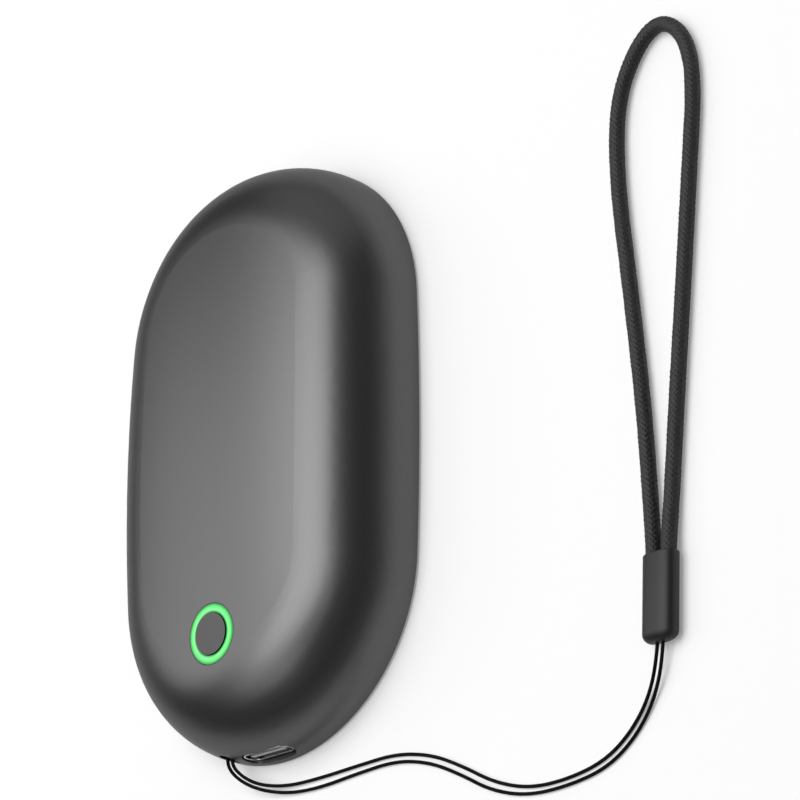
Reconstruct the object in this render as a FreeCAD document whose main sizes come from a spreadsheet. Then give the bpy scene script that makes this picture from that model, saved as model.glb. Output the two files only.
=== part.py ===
import FreeCAD
import Part
import math
import os
import re
import Sketcher

# Pebble-shaped rechargeable hand warmer with a wrist strap.
# It lies on its flat warming plate: +Z goes up through the domed shell, Y runs along the body,
# and the charging port, the strap hole and the strap's cord are at the -Y end.
# The origin is the middle of the warming plate's outer face. Millimetres.

driving_sizes = [
    # outer form
    ("body_length", 90.0, "length of the oval body"),
    ("body_width", 53.4, "width of the oval body"),
    ("side_radius", 450.0, "radius of the slightly bowed long sides"),
    ("body_height", 16.0, "height from the plate's face to the top of the dome"),
    ("rim_lift", 0.2, "gap under the shell's rim when the body lies on its plate"),
    ("rim_straight", 1.5, "upright strip of wall between the rim and the rolled edge"),
    ("rim_chamfer", 0.25, "chamfer round the shell's rim"),
    ("crown_across", 90.0, "radius of the dome's gentle crown across the body"),
    ("wall", 1.5, "wall of the shell"),
    ("fit_gap", 0.1, "side clearance between fixed pieces"),
    # rim of the shell and the bezel of the frame
    ("rim_lip", 0.55, "width of the shell's edge outside the bezel"),
    ("rim_gap", 0.2, "groove between the shell's edge and the bezel"),
    ("rabbet_height", 1.5, "height of the step that the frame sits in"),
    ("bezel_width", 0.75, "width of the bezel round the plate"),
    ("bezel_chamfer", 0.2, "chamfer on the bezel's two edges"),
    ("ledge_width", 6.6, "width of the frame's ledge behind the plate"),
    ("ledge_thick", 1.8, "thickness of the frame's ledge"),
    ("floor_thick", 0.8, "thickness of the frame's floor under the cell"),
    ("floor_reach", 32.0, "distance of the floor's lower edge from the body's end"),
    ("window_rim", 0.6, "strip of floor left round the opening under the board"),
    # warming plate and what is bonded to it
    ("plate_thick", 1.0, "thickness of the warming plate"),
    ("plate_gap", 0.15, "gap between the plate and the bezel"),
    ("plate_land", 0.1, "upright strip of the plate's edge above its rounding"),
    ("gasket_thick", 0.2, "thickness of the adhesive ring under the plate"),
    ("gasket_width", 2.6, "width of the adhesive ring"),
    ("gasket_margin", 0.4, "distance of the adhesive ring from the plate's edge"),
    ("heater_thick", 0.2, "thickness of the film heater"),
    ("heater_margin", 0.6, "gap between the ledge and the film heater"),
    ("lead_window_width", 14.0, "width of the opening in the foam for the leads"),
    ("lead_window_length", 5.0, "length of the opening in the foam for the leads"),
    # screws that hold the frame to the shell
    ("boss_inset", 5.2, "distance of the frame's screws from the body's outline"),
    ("boss_angle", 52.0, "angle of the frame's screws from the long axis"),
    ("boss_dia", 4.2, "diameter of the shell's screw bosses"),
    ("frame_screw_dia", 1.6, "shank of the frame's screws"),
    ("frame_screw_length", 5.0, "shank length of the frame's screws"),
    ("frame_head_dia", 2.9, "head diameter of the frame's screws"),
    ("frame_head_thick", 0.9, "head thickness of the frame's screws"),
    ("screw_clearance", 0.1, "radial clearance round screws and the strap pin"),
    # cell
    ("cell_side", 11.2, "distance of the cell from the body's sides"),
    ("cell_end", 16.0, "distance of the cell from the body's far end"),
    ("cell_reach", 34.5, "distance of the cell's lower end from the body's end"),
    ("cell_corner", 2.0, "corner radius of the cell"),
    ("cell_edge", 1.0, "rounding of the cell's top and bottom edges"),
    ("cell_seal_length", 3.2, "length of the cell's sealed flap"),
    ("cell_seal_thick", 0.6, "thickness of the cell's sealed flap"),
    ("cell_seal_step", 2.0, "how much narrower the flap is than the cell, each side"),
    ("tape_thick", 0.2, "adhesive tape under the cell"),
    ("tape_margin", 4.0, "distance of the tape from the cell's edges"),
    ("foam_thick", 3.6, "foam between the cell and the dome"),
    ("foam_margin", 6.0, "distance of the foam from the cell's edges"),
    ("rib_thick", 1.0, "thickness of the ribs beside the cell"),
    ("rib_height", 2.2, "height of the ribs beside the cell"),
    ("rib_end_gap", 4.0, "how far the side ribs stop short of the cell's ends"),
    ("guard_width", 2.6, "width of the protection board on the cell's flap"),
    ("guard_length", 22.0, "length of the protection board"),
    ("guard_thick", 0.8, "thickness of the protection board"),
    # charging socket
    ("socket_z", 3.4, "height of the charging socket's middle"),
    ("socket_width", 8.94, "outer width of the socket's metal shell"),
    ("socket_height", 3.2, "outer height of the socket's metal shell"),
    ("socket_length", 7.35, "depth of the socket"),
    ("socket_wall", 0.3, "metal thickness of the socket's shell"),
    ("socket_recess", 0.7, "how far the socket's mouth lies inside the body's end"),
    ("socket_lip", 0.12, "rounding of the socket's mouth"),
    ("port_gap", 0.25, "gap between the socket and the port in the shell"),
    ("tongue_width", 6.7, "width of the socket's tongue"),
    ("tongue_thick", 0.7, "thickness of the socket's tongue"),
    ("tongue_length", 5.5, "length of the socket's tongue"),
    ("tongue_base", 1.4, "depth of the block that carries the tongue"),
    ("contact_width", 0.3, "width of a contact on the tongue"),
    ("contact_spacing", 1.0, "spacing of the contacts"),
    ("contact_thick", 0.12, "height of a contact above the tongue"),
    ("contact_length", 4.8, "length of a contact"),
    # main board
    ("board_thick", 0.8, "thickness of the main board"),
    ("board_reach", 29.0, "distance of the board's inner edge from the body's end"),
    ("board_end", 8.4, "distance of the board's outer edge from the body's end"),
    ("board_tab_width", 11.2, "width of the board's tab over the socket"),
    ("board_tab_end", 4.2, "distance of the tab's edge from the body's end"),
    ("board_boss_dia", 3.6, "diameter of the shell's bosses for the board"),
    ("board_boss_gap", 3.1, "gap between the board's screw heads and the shell's bosses"),
    ("board_boss_margin", 3.0, "distance of the board's screws from its inner and outer edge"),
    ("board_boss_side", 2.5, "distance of the board's screws from its sides"),
    ("board_screw_dia", 1.4, "shank of the board's screws"),
    ("board_screw_length", 4.0, "shank length of the board's screws"),
    ("board_head_dia", 2.8, "head diameter of the board's screws"),
    ("board_head_thick", 0.8, "head thickness of the board's screws"),
    ("pilot_spare", 0.5, "depth of the pilot holes past the screws"),
    # power button, its switch and the light ring
    ("button_from_end", 15.7, "distance of the button from the body's end"),
    ("button_dia", 6.0, "diameter of the button's cap"),
    ("button_gap", 0.13, "gap between the button and the light ring"),
    ("button_flange_dia", 7.6, "diameter of the flange that keeps the button in"),
    ("button_flange_thick", 0.5, "thickness of that flange"),
    ("button_play", 0.1, "gap above the flange at rest"),
    ("button_stem_dia", 2.6, "diameter of the button's stem"),
    ("button_rise", 0.2, "how far the cap stands above the dome's surface"),
    ("press_travel", 0.4, "travel of the button"),
    ("ring_dia", 8.7, "outer diameter of the light ring at the surface"),
    ("collar_dia", 12.4, "diameter of the collar inside the shell"),
    ("collar_depth", 2.6, "depth of the collar's end under the dome's surface at the button"),
    ("ring_flange_dia", 12.0, "diameter of the light ring's flange"),
    ("ring_flange_thick", 0.6, "thickness of the light ring's flange"),
    ("ring_skirt_dia", 10.3, "outer diameter of the light ring's skirt"),
    ("ring_skirt_bore", 8.4, "bore of the light ring's skirt"),
    ("ring_skirt_gap", 0.6, "gap between the lamps and the skirt"),
    ("shade_wall", 0.6, "wall of the light shade"),
    ("lamp_length", 1.6, "length of a lamp"),
    ("lamp_width", 0.8, "width of a lamp"),
    ("lamp_height", 0.6, "height of a lamp"),
    ("switch_side", 5.2, "side of the switch's body"),
    ("switch_height", 1.5, "height of the switch's body"),
    ("plunger_dia", 2.8, "diameter of the switch's plunger"),
    ("plunger_rise", 0.8, "height of the plunger above the switch"),
    ("plunger_play", 0.15, "radial clearance of the plunger"),
    ("plunger_depth", 1.1, "depth of the plunger's well"),
    # chips and other pieces on the board
    ("control_chip_side", 4.0, "side of the control chip"),
    ("charge_chip_side", 3.0, "side of the charging chip"),
    ("chip_height", 0.9, "height of the chips"),
    ("chip_x", 6.0, "distance of the chips from the long axis"),
    ("coil_side", 4.0, "side of the power inductor"),
    ("coil_height", 2.0, "height of the power inductor"),
    ("coil_margin", 1.0, "distance of the inductor from the board's inner edge"),
    ("capacitor_length", 1.6, "length of a capacitor"),
    ("capacitor_width", 0.8, "width of a capacitor"),
    ("capacitor_spacing", 1.7, "spacing of the capacitors"),
    # leads
    ("lead_dia", 0.9, "diameter of the insulated leads"),
    ("lead_spacing", 3.2, "distance between the two heater leads"),
    ("cell_lead_gap", 3.0, "distance of the cell's leads from the board's screws"),
    ("cell_lead_bow", 3.0, "height of the cell's leads over the protection board"),
    ("cell_lead_land", 1.8, "distance of the leads' joints from the board's inner edge"),
    ("bead_length", 1.8, "length of the temperature sensor"),
    ("bead_width", 1.2, "width of the temperature sensor"),
    ("bead_height", 0.8, "height of the temperature sensor"),
    ("bead_x", 3.8, "distance of the sensor from the long axis"),
    ("bead_lead_dia", 0.4, "diameter of the sensor's leads"),
    ("bead_lead_spacing", 0.9, "distance between the sensor's leads"),
    # strap hole and its pin
    ("hole_x", 8.0, "distance of the strap hole from the long axis"),
    ("hole_z", 3.4, "height of the strap hole"),
    ("hole_dia", 3.0, "diameter of the strap hole"),
    ("pin_dia", 1.1, "diameter of the strap pin"),
    ("pin_from_end", 5.55, "distance of the strap pin from the body's end"),
    ("pin_boss_dia", 3.4, "diameter of the boss that holds the pin"),
    ("pin_boss_z", 4.7, "height of the end of that boss"),
    ("pin_depth", 2.5, "depth of the pin in that boss"),
    ("pin_room", 2.4, "half width of the frame's cut-out round the pin"),
    # strap
    ("cord_dia", 0.5, "diameter of the thin cord"),
    ("rope_dia", 2.3, "diameter of the wrist loop"),
    ("sleeve_width", 5.4, "width of the strap's sleeve"),
    ("sleeve_thick", 3.2, "thickness of the strap's sleeve"),
    ("sleeve_length", 12.6, "length of the strap's sleeve"),
    ("sleeve_side", 44.8, "distance of the sleeve's middle from the body's side"),
    ("sleeve_drop", 1.0, "how far the sleeve's lower end stops short of the body's end"),
    ("sleeve_round", 0.9, "rounding of the sleeve's lower end"),
    ("sleeve_mouth_round", 0.2, "rounding of the sleeve's mouth"),
    ("rope_depth", 6.0, "depth of the loop's ends in the sleeve"),
    ("cord_spacing", 0.9, "distance between the cord's ends in the sleeve"),
    ("cord_depth", 3.9, "depth of the cord's ends in the sleeve"),
    ("strap_gap", 0.1, "radial clearance of the cords in the sleeve"),
    ("cord_straight", 1.4, "straight run of the cord outside the sleeve"),
    ("rope_straight", 0.4, "straight run of the loop outside the sleeve"),
    ("pin_slack", 0.25, "slack of the cord round the pin"),
    # how the routes are rounded
    ("arc_share", 0.45, "share of the shorter run that the arc at a corner takes up"),
]

# Sizes that follow from the driving ones.
derived = {
    "half_length": "body_length / 2",
    "half_width": "body_width / 2",
    "end_radius": "(2 * side_radius * half_width - half_width ^ 2 - half_length ^ 2)"
                  " / (2 * (side_radius - half_length))",
    "end_centre": "half_length - end_radius",
    "side_centre": "side_radius - half_width",
    "roll_base": "rim_lift + rim_straight",
    "roll_rise": "body_height - roll_base",
    "roll_radius": "(crown_across ^ 2 - half_width ^ 2 - (crown_across - roll_rise) ^ 2)"
                   " / (2 * (crown_across - half_width))",
    "crown_along": "(roll_rise ^ 2 + half_length ^ 2 - 2 * half_length * roll_radius)"
                   " / (2 * (roll_rise - roll_radius))",
    "inner_roll": "roll_radius - wall",
    "inner_top": "body_height - wall",
    "rabbet_top": "rim_lift + rabbet_height",
    "bezel_outer": "rim_lip + rim_gap",
    "bezel_inner": "bezel_outer + bezel_width",
    "plate_inset": "bezel_inner + plate_gap",
    "plate_round": "plate_thick - plate_land",
    "recess_top": "plate_thick + gasket_thick",
    "frame_top": "recess_top + ledge_thick",
    "floor_bottom": "frame_top - floor_thick",
    "floor_edge": "half_length - floor_reach",
    "ledge_outer": "wall + inner_roll - sqrt(inner_roll ^ 2 - (frame_top - roll_base) ^ 2) + fit_gap",
    "ledge_inner": "ledge_outer + ledge_width",
    "window_radius": "end_radius - ledge_inner - window_rim",
    "heater_inset": "ledge_inner + heater_margin",
    "heater_top": "plate_thick + heater_thick",
    "boss_radius": "end_radius - boss_inset",
    "boss_x": "boss_radius * sin(boss_angle * 1 deg)",
    "boss_y": "end_centre + boss_radius * cos(boss_angle * 1 deg)",
    "counterbore_top": "recess_top + frame_head_thick + fit_gap",
    "cell_half": "half_width - cell_side",
    "cell_start": "half_length - cell_reach",
    "cell_top_end": "half_length - cell_end",
    "cell_bottom": "frame_top + tape_thick",
    "cell_top": "inner_top - foam_thick",
    "cell_seal_z": "(cell_bottom + cell_top - cell_seal_thick) / 2",
    "cell_seal_top": "cell_seal_z + cell_seal_thick",
    "socket_mouth": "half_length - socket_recess",
    "socket_back": "socket_mouth - socket_length",
    "socket_bottom": "socket_z - socket_height / 2",
    "board_bottom": "socket_z + socket_height / 2",
    "board_top": "board_bottom + board_thick",
    "board_start": "half_length - board_reach",
    "board_low": "half_length - board_end",
    "board_tab_low": "half_length - board_tab_end",
    "board_boss_x": "boss_x - (boss_dia + board_head_dia) / 2 - board_boss_gap",
    "board_half": "board_boss_x + board_boss_side",
    "board_boss_in": "board_start + board_boss_margin",
    "board_boss_out": "board_low - board_boss_margin",
    "button_y": "half_length - button_from_end",
    "button_z": "body_height - crown_along + sqrt(crown_along ^ 2 - button_y ^ 2)",
    "collar_end": "button_z - collar_depth",
    "ring_bore": "button_dia + 2 * button_gap",
    "ring_hole": "ring_dia + 2 * fit_gap",
    "ring_flange_bottom": "collar_end - ring_flange_thick",
    "skirt_bottom": "board_top + lamp_height + ring_skirt_gap",
    "button_flange_top": "ring_flange_bottom - button_play",
    "button_flange_bottom": "button_flange_top - button_flange_thick",
    "plunger_top": "board_top + switch_height + plunger_rise",
    "lamp_radius": "(ring_skirt_dia + ring_skirt_bore) / 4",
    "cell_lead_x": "board_boss_x - cell_lead_gap",
    "lead_y": "board_start + lead_window_length / 2",
    "pin_y": "half_length - pin_from_end",
    "hole_relief": "hole_z - hole_dia / 2 - fit_gap",
    "socket_relief": "socket_bottom - fit_gap",
    "pin_turn": "(pin_dia + cord_dia) / 2 + pin_slack",
    "rope_spacing": "rope_dia + strap_gap",
    "sleeve_x": "half_width + sleeve_side",
    "sleeve_y": "half_length - sleeve_drop",
    "sleeve_z": "sleeve_thick / 2",
    "sleeve_top": "sleeve_length - sleeve_y",
}

# Routes of the strap's two cords, as corner points that tangent arcs round off.
# The thin cord is one loop: from the sleeve over the table to the strap hole, round the pin and back.
# A point gives the share of the way from the hole to the sleeve, the distance past the body's end
# and the height over the table.
cord_out = [
    (0.9774, 5.10, 0.50),
    (0.9258, 9.00, 0.30),
    (0.8528, 12.00, 0.30),
    (0.7686, 13.90, 0.30),
    (0.6818, 14.05, 0.30),
    (0.6000, 11.95, 0.30),
    (0.5296, 8.60, 0.30),
    (0.4579, 5.75, 0.30),
    (0.3774, 4.20, 0.30),
    (0.2843, 4.50, 0.30),
    (0.1887, 5.10, 0.30),
    (0.1057, 4.70, 0.50),
    (0.0352, 3.00, 1.70),
]
cord_back = [
    (0.0403, 2.50, 1.70),
    (0.1044, 4.00, 0.50),
    (0.1887, 4.35, 0.30),
    (0.2843, 3.75, 0.30),
    (0.3774, 3.45, 0.30),
    (0.4629, 5.05, 0.30),
    (0.5358, 7.90, 0.30),
    (0.6063, 11.20, 0.30),
    (0.6843, 13.25, 0.30),
    (0.7660, 13.05, 0.30),
    (0.8465, 11.25, 0.30),
    (0.9164, 8.35, 0.30),
    (0.9654, 4.75, 0.50),
]
# Points of the thin cord in the strap hole: across from its middle, past the body's end, up from its middle.
hole_in = [
    (-0.35, 0.3, -0.25),
    (-0.6, -2.3, 0.0),
]
hole_out = [
    (0.6, -2.3, 0.0),
    (0.3, -0.1, -0.2),
]
# Points of the wrist loop on the table: across from the sleeve's middle and on from its mouth.
loop_run = [
    (-1.70, 7.40),
    (-3.20, 21.40),
    (-5.00, 39.40),
    (-6.50, 55.40),
    (-6.60, 67.40),
    (-3.50, 75.00),
    (1.70, 77.60),
    (6.30, 74.20),
    (7.80, 66.90),
    (6.50, 53.90),
    (4.70, 37.90),
    (3.00, 21.40),
    (1.70, 7.40),
]

doc = FreeCAD.newDocument("HandWarmer")
sheet = doc.addObject("Spreadsheet::Sheet", "sizes")
for row, (alias, value, meaning) in enumerate(driving_sizes, start=1):
    sheet.set("A%d" % row, meaning)
    sheet.set("B%d" % row, str(value))
    sheet.setAlias("B%d" % row, alias)
doc.recompute()
driving_names = {alias for alias, value, meaning in driving_sizes}
zero_length = 1e-9
same_place = 1e-4
least_cut = 1e-6


def expand(formula):
    """The formula with every named size written as a cell of the sheet."""
    def cell(match):
        word = match.group(0)
        if word in derived:
            return "(" + expand(derived[word]) + ")"
        if word in driving_names:
            return "sizes." + word
        return word
    return re.sub(r"[a-z][a-z_0-9]*", cell, str(formula))


def number(formula):
    return float(sheet.evalExpression(expand(formula)))


def bind(thing, **formulas):
    for name, formula in formulas.items():
        thing.setExpression(name, expand(formula))


def bind_place(thing, x, y, z):
    for axis, formula in zip("xyz", (x, y, z)):
        thing.setExpression("Placement.Base." + axis, expand(formula))


def vector(x, y, z=0.0):
    return FreeCAD.Vector(x, y, z)


# Sketches


def new_sketch(body, name, role="XY_Plane", offset="0"):
    sketch = body.newObject("Sketcher::SketchObject", body.Name + "_" + name)
    plane = [feature for feature in body.Origin.OriginFeatures if feature.Role == role][0]
    sketch.AttachmentSupport = [(plane, "")]
    sketch.MapMode = "FlatFace"
    sketch.setExpression("AttachmentOffset.Base.z", expand(offset))
    return sketch


def dimension(sketch, kind, references, formula):
    index = sketch.addConstraint(Sketcher.Constraint(kind, *references, number(formula)))
    sketch.setExpression("Constraints[%d]" % index, expand(formula))


def pin_point(sketch, geometry, corner, x, y):
    """Fixes a point of a sketch at two formulas."""
    for kind, formula, axis in (("DistanceX", x, -2), ("DistanceY", y, -1)):
        if abs(number(formula)) < zero_length:
            sketch.addConstraint(Sketcher.Constraint("PointOnObject", geometry, corner, axis))
        else:
            dimension(sketch, kind, (geometry, corner), formula)


def draw_outline(sketch, corners):
    """A closed outline of straight lines through the given corners."""
    places = [vector(number(x), number(y)) for x, y in corners]
    count = len(places)
    lines = [
        sketch.addGeometry(Part.LineSegment(places[i], places[(i + 1) % count]))
        for i in range(count)
    ]
    for i in range(count):
        sketch.addConstraint(Sketcher.Constraint("Coincident", lines[i], 2, lines[(i + 1) % count], 1))
    for line, (x, y) in zip(lines, corners):
        pin_point(sketch, line, 1, x, y)


def draw_rectangle(sketch, left, low, right, high):
    draw_outline(sketch, [(left, low), (right, low), (right, high), (left, high)])


def draw_circle(sketch, x, y, diameter):
    circle = sketch.addGeometry(
        Part.Circle(vector(number(x), number(y)), vector(0, 0, 1), number(diameter) / 2))
    pin_point(sketch, circle, 3, x, y)
    dimension(sketch, "Radius", (circle,), "(%s) / 2" % diameter)


def draw_oval(sketch, inset):
    """The body's outline of four tangent arcs, moved inwards by the inset."""
    centre, side = number("end_centre"), number("side_centre")
    small, large = number("end_radius - (%s)" % inset), number("side_radius - (%s)" % inset)
    lean = math.atan2(centre, side)
    up = vector(0, 0, 1)
    far = sketch.addGeometry(Part.ArcOfCircle(
        Part.Circle(vector(0, centre), up, small), lean, math.pi - lean))
    left = sketch.addGeometry(Part.ArcOfCircle(
        Part.Circle(vector(side, 0), up, large), math.pi - lean, math.pi + lean))
    near = sketch.addGeometry(Part.ArcOfCircle(
        Part.Circle(vector(0, -centre), up, small), math.pi + lean, 2 * math.pi - lean))
    right = sketch.addGeometry(Part.ArcOfCircle(
        Part.Circle(vector(-side, 0), up, large), -lean, lean))
    for constraint in (
        ("Tangent", right, 2, far, 1),
        ("Tangent", near, 2, right, 1),
        ("Horizontal", far, 1, far, 2),
        ("Horizontal", near, 1, near, 2),
        ("Coincident", left, 1, far, 2),
        ("Coincident", left, 2, near, 1),
        ("Equal", left, right),
        ("PointOnObject", far, 3, -2),
        ("PointOnObject", near, 3, -2),
        ("PointOnObject", right, 3, -1),
    ):
        sketch.addConstraint(Sketcher.Constraint(*constraint))
    dimension(sketch, "DistanceY", (far, 3), "end_centre")
    dimension(sketch, "DistanceY", (near, 3), "-end_centre")
    dimension(sketch, "Radius", (far,), "end_radius - (%s)" % inset)
    dimension(sketch, "Radius", (right,), "side_radius - (%s)" % inset)


def draw_slot(sketch, x, y, width, height):
    """A lying slot with round ends."""
    middle_x, middle_y = number(x), number(y)
    radius, reach = number(height) / 2, (number(width) - number(height)) / 2
    up = vector(0, 0, 1)
    left, right = middle_x - reach, middle_x + reach
    right_end = sketch.addGeometry(Part.ArcOfCircle(
        Part.Circle(vector(right, middle_y), up, radius), -math.pi / 2, math.pi / 2))
    top = sketch.addGeometry(Part.LineSegment(
        vector(right, middle_y + radius), vector(left, middle_y + radius)))
    left_end = sketch.addGeometry(Part.ArcOfCircle(
        Part.Circle(vector(left, middle_y), up, radius), math.pi / 2, 3 * math.pi / 2))
    bottom = sketch.addGeometry(Part.LineSegment(
        vector(left, middle_y - radius), vector(right, middle_y - radius)))
    for constraint in (
        ("Tangent", right_end, 2, top, 1),
        ("Tangent", top, 2, left_end, 1),
        ("Tangent", left_end, 2, bottom, 1),
        ("Tangent", bottom, 2, right_end, 1),
        ("Equal", right_end, left_end),
    ):
        sketch.addConstraint(Sketcher.Constraint(*constraint))
    half = "((%s) - (%s)) / 2" % (width, height)
    pin_point(sketch, right_end, 3, "(%s) + %s" % (x, half), y)
    pin_point(sketch, left_end, 3, "(%s) - %s" % (x, half), y)
    dimension(sketch, "Radius", (right_end,), "(%s) / 2" % height)


# Features


def new_body(name):
    return doc.addObject("PartDesign::Body", name)


def pad(sketch, length):
    body = sketch.getParentGeoFeatureGroup()
    feature = body.newObject("PartDesign::Pad", sketch.Name + "_pad")
    feature.Profile = sketch
    bind(feature, Length=length)
    sketch.Visibility = False
    doc.recompute()
    return feature


def pocket(sketch, length=None, along_normal=False):
    """Cuts a sketch out of its body, right through where no length is given."""
    body = sketch.getParentGeoFeatureGroup()
    before = body.Shape.Volume
    feature = body.newObject("PartDesign::Pocket", sketch.Name + "_pocket")
    feature.Profile = sketch
    feature.Reversed = along_normal
    if length is None:
        feature.Type = "ThroughAll"
    else:
        bind(feature, Length=length)
    doc.recompute()
    if body.Shape.Volume > before - least_cut:
        raise RuntimeError(sketch.Name + " cuts nothing")
    return feature


def revolve(sketch):
    body = sketch.getParentGeoFeatureGroup()
    feature = body.newObject("PartDesign::Revolution", sketch.Name + "_revolution")
    feature.Profile = sketch
    feature.ReferenceAxis = (sketch, ["V_Axis"])
    feature.Angle = 360
    doc.recompute()
    return feature


def cut_crown(body, inset):
    """Cuts the top of a body to the crown, which bows across the body and, less, along it."""
    profile = new_sketch(body, "crown", "XZ_Plane")
    radius, reach, top = "crown_across - (%s)" % inset, "half_width + wall", "2 * body_height"
    centre, spread = "body_height - crown_across", math.asin(number(reach) / number(radius))
    arc = profile.addGeometry(Part.ArcOfCircle(
        Part.Circle(vector(0, number(centre)), vector(0, 0, 1), number(radius)),
        math.pi / 2 - spread, math.pi / 2 + spread))
    low = number(centre) + number(radius) * math.cos(spread)
    left, right, high = -number(reach), number(reach), number(top)
    sides = [
        profile.addGeometry(Part.LineSegment(vector(*start), vector(*end)))
        for start, end in (
            ((left, low), (left, high)), ((left, high), (right, high)), ((right, high), (right, low)))
    ]
    for constraint in (
        ("Coincident", arc, 2, sides[0], 1),
        ("Coincident", sides[0], 2, sides[1], 1),
        ("Coincident", sides[1], 2, sides[2], 1),
        ("Coincident", sides[2], 2, arc, 1),
        ("Vertical", sides[0]),
        ("Vertical", sides[2]),
    ):
        profile.addConstraint(Sketcher.Constraint(*constraint))
    pin_point(profile, arc, 3, "0", centre)
    dimension(profile, "Radius", (arc,), radius)
    pin_point(profile, sides[1], 1, "-(%s)" % reach, top)
    pin_point(profile, sides[1], 2, reach, top)
    hinge = number("body_height - crown_along")
    axis = profile.addGeometry(Part.LineSegment(vector(left, hinge), vector(right, hinge)), True)
    pin_point(profile, axis, 1, "-(%s)" % reach, "body_height - crown_along")
    pin_point(profile, axis, 2, reach, "body_height - crown_along")
    feature = body.newObject("PartDesign::Groove", body.Name + "_crown_groove")
    feature.Profile = profile
    feature.ReferenceAxis = (profile, ["Axis0"])
    feature.Midplane = True
    bind(feature, Angle="2 * asin((half_length + wall) / (crown_along - wall))")
    doc.recompute()
    return feature


def dress(body, kind, size_name, size, chosen):
    """Rounds or bevels the edges of a body's last feature that the test picks."""
    base = body.Tip
    names = [
        "Edge%d" % (i + 1) for i, edge in enumerate(base.Shape.Edges) if chosen(edge)
    ]
    feature = body.newObject("PartDesign::" + kind, body.Name + "_" + kind.lower() + size.split()[0])
    feature.Base = (base, names)
    bind(feature, **{size_name: size})
    doc.recompute()
    return feature


def round_edges(body, radius, chosen):
    return dress(body, "Fillet", "Radius", radius, chosen)


def bevel_edges(body, size, chosen):
    return dress(body, "Chamfer", "Size", size, chosen)


def level(axis, formula):
    """A test for edges that lie wholly at one height along an axis."""
    place = number(formula)

    def chosen(edge):
        box = edge.BoundBox
        low, high = getattr(box, axis + "Min"), getattr(box, axis + "Max")
        return abs(low - place) < same_place and abs(high - place) < same_place
    return chosen


def above(formula):
    """A test for edges that lie wholly above a height."""
    place = number(formula)
    return lambda edge: edge.BoundBox.ZMin > place


def new_box(name, x, y, z, length, width, height):
    """A block from its lowest corner and its sizes along X, Y and Z."""
    box = doc.addObject("Part::Box", name)
    bind(box, Length=length, Width=width, Height=height)
    bind_place(box, x, y, z)
    return box


def middle_box(name, x, y, z, length, width, height):
    """A block that is centred on x and y and stands on z."""
    return new_box(
        name, "(%s) - (%s) / 2" % (x, length), "(%s) - (%s) / 2" % (y, width), z, length, width, height)


def new_cylinder(name, x, y, z, diameter, height):
    cylinder = doc.addObject("Part::Cylinder", name)
    bind(cylinder, Radius="(%s) / 2" % diameter, Height=height)
    bind_place(cylinder, x, y, z)
    return cylinder


def join(name, kind, base, tool):
    boolean = doc.addObject("Part::" + kind, name)
    boolean.Base = base
    boolean.Tool = tool
    return boolean


def group(name, members):
    compound = doc.addObject("Part::Compound", name)
    compound.Links = members
    return compound


def shifted(name, thing, rise):
    """A copy of a thing, a little higher or lower."""
    copy = group(name, [thing])
    bind_place(copy, "0", "0", rise)
    return copy


def solid_tube(name, points, diameter):
    """A round tube along straight runs that tangent arcs join, each as large as its runs allow."""
    corners = [vector(*point) for point in points]
    edges = []
    radii = []
    start = corners[0]
    for before, corner, after in zip(corners, corners[1:], corners[2:]):
        into, out = corner - before, after - corner
        reach = number("arc_share") * min(into.Length, out.Length)
        turn = into.getAngle(out)
        radii.append(reach / math.tan(turn / 2))
        first = corner - into.normalize() * reach
        last = corner + out.normalize() * reach
        edges.append(Part.LineSegment(start, first).toShape())
        bisector = (out - into).normalize()
        middle = corner + bisector * (radii[-1] / math.cos(turn / 2) - radii[-1])
        edges.append(Part.Arc(first, middle, last).toShape())
        start = last
    edges.append(Part.LineSegment(start, corners[-1]).toShape())
    path = Part.Wire(edges)
    heading = corners[1] - corners[0]
    ring = Part.Wire([Part.Circle(corners[0], heading, diameter / 2).toShape()])
    tube = path.makePipeShell([ring], True, False)
    solid = Part.Solid(tube.Shells[0]) if tube.ShapeType != "Solid" else tube
    print("%s: length %.1f mm, tightest radius %.2f mm" % (name, path.Length, min(radii)))
    feature = doc.addObject("Part::Feature", name)
    feature.Shape = solid
    feature.Placement = FreeCAD.Placement()
    return feature


# The shell: a crowned dome with a wide rolled edge, hollowed by a tool that leaves its bosses standing


def make_dome_blank():
    body = new_body("dome_blank")
    outline = new_sketch(body, "outline", offset="rim_lift")
    draw_oval(outline, "0")
    pad(outline, "body_height - rim_lift + wall")
    cut_crown(body, "0")
    round_edges(body, "roll_radius", above("roll_base"))
    bevel_edges(body, "rim_chamfer", level("Z", "rim_lift"))
    return body


def frame_boss_places():
    return [(side + "boss_x", end + "boss_y") for side in ("", "-") for end in ("", "-")]


def board_boss_places():
    return [
        (side + "board_boss_x", "-" + end)
        for side in ("", "-") for end in ("board_boss_in", "board_boss_out")
    ]


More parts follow.
